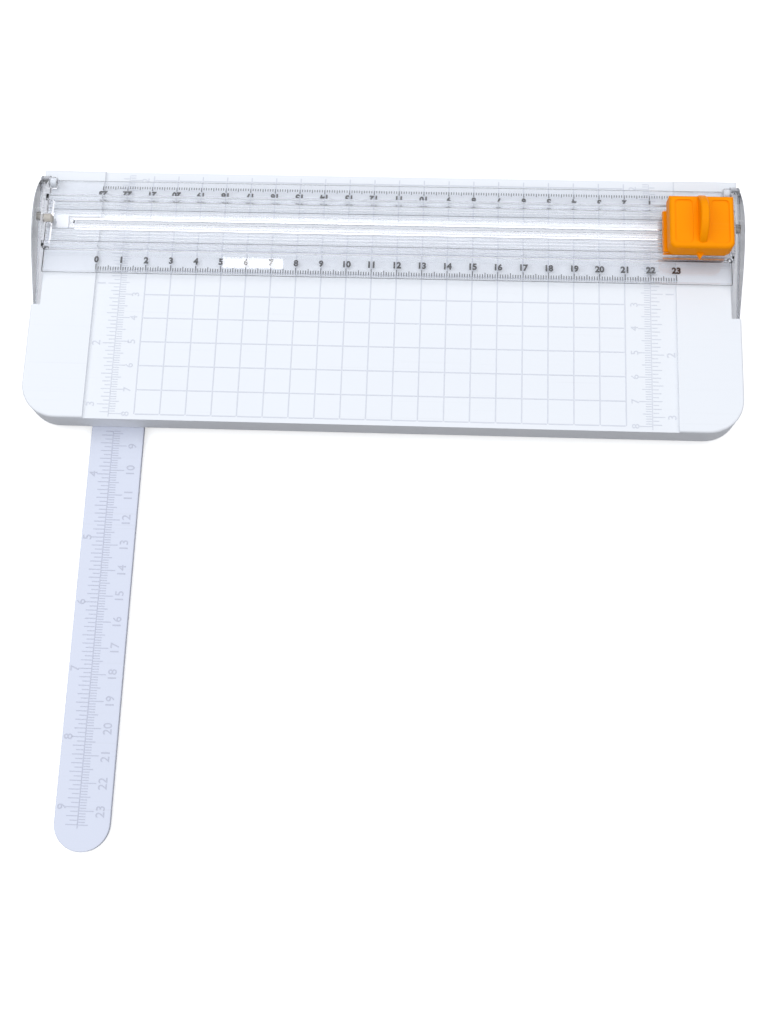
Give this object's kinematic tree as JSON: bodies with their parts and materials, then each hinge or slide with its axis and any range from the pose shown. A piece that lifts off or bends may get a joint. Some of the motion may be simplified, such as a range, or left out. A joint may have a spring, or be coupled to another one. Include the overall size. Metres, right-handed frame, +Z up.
{
  "type": "sliding blade paper trimmer",
  "caption": "Compact paper trimmer: white base with moulded grid, hinged clear rail, orange sliding press-down blade carriage and a ruler arm that swings out from below.",
  "frame": {"origin": "on the table, under the middle of the bounding box, ruler arm swung out", "axes": "+X along the rail to the right, +Y to the rear, +Z up"},
  "size_m": [0.2806, 0.268, 0.0354],
  "materials": {
    "white_plastic": "satin moulded ABS, faintly textured",
    "arm_plastic": "satin moulded ABS, cool white",
    "strip_plastic": "soft polyethylene cutting strip",
    "foot_rubber": "grey anti-slip rubber",
    "bumper_rubber": "warm grey rubber",
    "plated_steel": "zinc plated",
    "spring_steel": "drawn spring wire",
    "blade_steel": "ground blade steel",
    "holder_plastic": "moulded acetal",
    "orange_plastic": "glossy orange ABS",
    "clear_plastic": "clear polystyrene, polished"
  },
  "bodies": {
    "base": {"base_shell": "white_plastic", "cutting_strip": "strip_plastic", "foot_rear_left": "foot_rubber", "foot_rear_right": "foot_rubber", "foot_front_left": "foot_rubber", "foot_front_right": "foot_rubber", "arm_pivot_screw": "plated_steel", "arm_pivot_washer": "plated_steel"},
    "arm": {"ruler_arm": "arm_plastic"},
    "rail": {"cutting_rail": "clear_plastic", "rail_end_left": "clear_plastic", "rail_end_right": "clear_plastic", "hinge_pin_left": "plated_steel", "hinge_pin_right": "plated_steel", "bumper_left": "bumper_rubber", "bumper_right": "bumper_rubber"},
    "carriage": {"carriage_body": "orange_plastic", "press_spring_left": "spring_steel", "press_spring_right": "spring_steel"},
    "press": {"press_cover": "orange_plastic", "blade_holder": "holder_plastic", "cutter_blade": "blade_steel", "blade_pin": "plated_steel"}
  },
  "joints": [
    {"name": "rail_hinge", "type": "hinge", "parent": "base", "child": "rail", "pos_m": [0, 0.12755, 0.0167], "axis": [-1, 0, 0], "range_deg": [0, 60]},
    {"name": "carriage_slide", "type": "slide", "parent": "rail", "child": "carriage", "axis": [1, 0, 0], "range_m": [-0.2427, 0]},
    {"name": "blade_press", "type": "slide", "parent": "carriage", "child": "press", "axis": [0, 0, -1], "range_m": [0, 0.002], "stiffness_N_per_m": 900, "springref_m": -0.0015, "deforming": ["press_spring_left", "press_spring_right"]},
    {"name": "arm_swing", "type": "hinge", "parent": "base", "child": "arm", "pos_m": [-0.1034, 0.08555, 0.0031], "axis": [0, 0, 1], "range_deg": [0, 90]}
  ]
}
